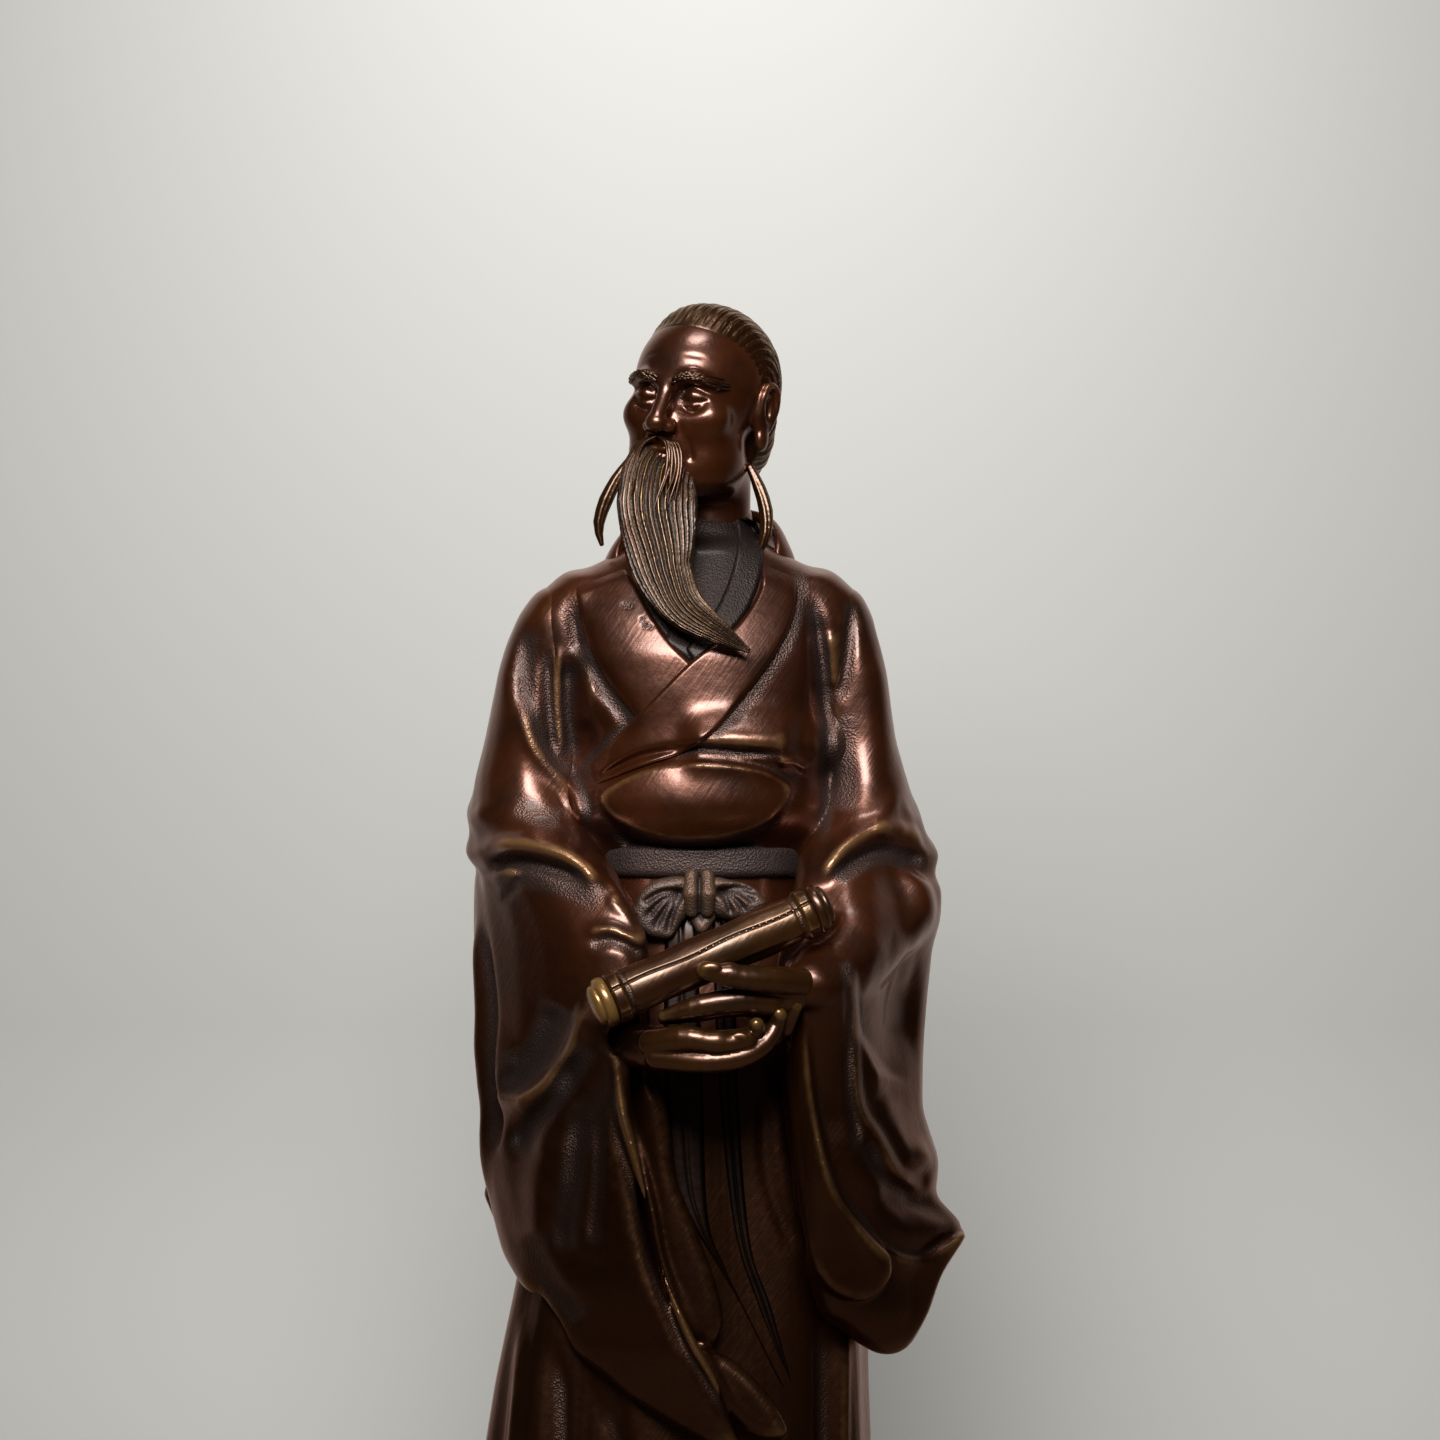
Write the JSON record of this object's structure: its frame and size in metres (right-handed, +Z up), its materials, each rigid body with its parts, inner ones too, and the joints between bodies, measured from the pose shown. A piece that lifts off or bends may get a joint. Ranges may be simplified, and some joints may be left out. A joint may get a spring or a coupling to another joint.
{
  "type": "bronze scholar figurine",
  "caption": "Standing robed scholar in patinated bronze holding a slanted scroll, for display on a desk or shelf; hollow-cast body on a flat hem.",
  "frame": {"origin": "on the floor, under the middle of the figure's bounding box", "axes": "+Z up, the figure faces -Y, +X is the figure's left"},
  "size_m": [0.083, 0.072, 0.2244],
  "materials": {
    "robe_brown": "polished reddish-brown patina on bronze",
    "ground_dark": "dark matt punched patina on bronze",
    "skin_brown": "polished warm brown patina on bronze",
    "hair_bronze": "brown patina rubbed to gold on the strands",
    "rubbed_gold": "patina rubbed through to golden bronze",
    "pin_brass": "plain drawn rod"
  },
  "bodies": {
    "root": {"robe": "robe_brown", "under_collar": "ground_dark", "left_lapel": "robe_brown", "right_lapel": "robe_brown", "belt": "ground_dark", "bow_knot": "ground_dark", "right_bow_loop": "ground_dark", "left_bow_loop": "ground_dark", "right_tail": "ground_dark", "left_tail": "ground_dark", "right_sleeve": "robe_brown", "right_shoe": "robe_brown", "right_arm_pin": "pin_brass", "right_wrist_pin": "pin_brass", "left_sleeve": "robe_brown", "left_shoe": "robe_brown", "left_arm_pin": "pin_brass", "left_wrist_pin": "pin_brass", "scroll": "robe_brown", "right_scroll_knob": "rubbed_gold", "left_scroll_knob": "rubbed_gold", "left_hand": "skin_brown", "right_hand": "skin_brown", "head": "skin_brown", "neck_pin": "pin_brass", "hair": "hair_bronze", "beard": "hair_bronze", "moustache": "hair_bronze", "right_hair_lock": "hair_bronze", "left_hair_lock": "hair_bronze"}
  },
  "joints": []
}
